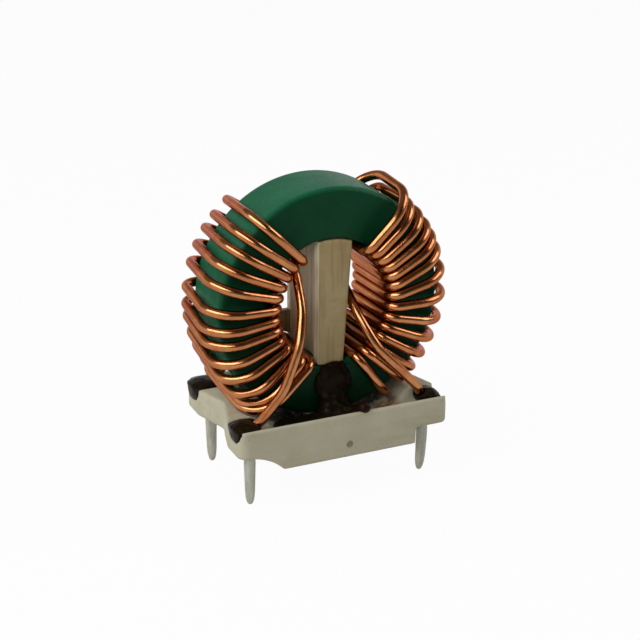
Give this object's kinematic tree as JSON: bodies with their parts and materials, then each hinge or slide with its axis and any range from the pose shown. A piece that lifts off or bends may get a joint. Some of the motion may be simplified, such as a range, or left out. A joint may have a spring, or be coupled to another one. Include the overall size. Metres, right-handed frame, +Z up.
{
  "type": "toroidal inductor",
  "caption": "Toroidal inductor: green coated ferrite ring with an open copper winding on each side, standing on edge in a cream moulded base with tinned board pins.",
  "frame": {"origin": "the board plane, under the standoff, at the middle of the four pins", "axes": "+Z up from the board, Y along the ring's axis with the front at -Y, X along the base and across the two windings"},
  "size_m": [0.0313, 0.018, 0.0365],
  "materials": {
    "base_plastic": "matt moulded cream plastic",
    "divider_plastic": "matt cream board",
    "ferrite": "fired ferrite, out of sight",
    "green_coat": "smooth satin epoxy coat",
    "copper_wire": "clear enamelled copper wire",
    "black_epoxy": "glossy black epoxy",
    "tin": "dull solder coat"
  },
  "bodies": {
    "root": {"base": "base_plastic", "ferrite_core": "ferrite", "core_coating": "green_coat", "left_winding": "copper_wire", "right_winding": "copper_wire", "divider": "divider_plastic", "core_glue": "black_epoxy", "bead_front_left": "black_epoxy", "bead_front_right": "black_epoxy", "bead_rear_left": "black_epoxy", "bead_rear_right": "black_epoxy", "tinned_front_left": "tin", "tinned_front_right": "tin", "tinned_rear_left": "tin", "tinned_rear_right": "tin"}
  },
  "joints": []
}
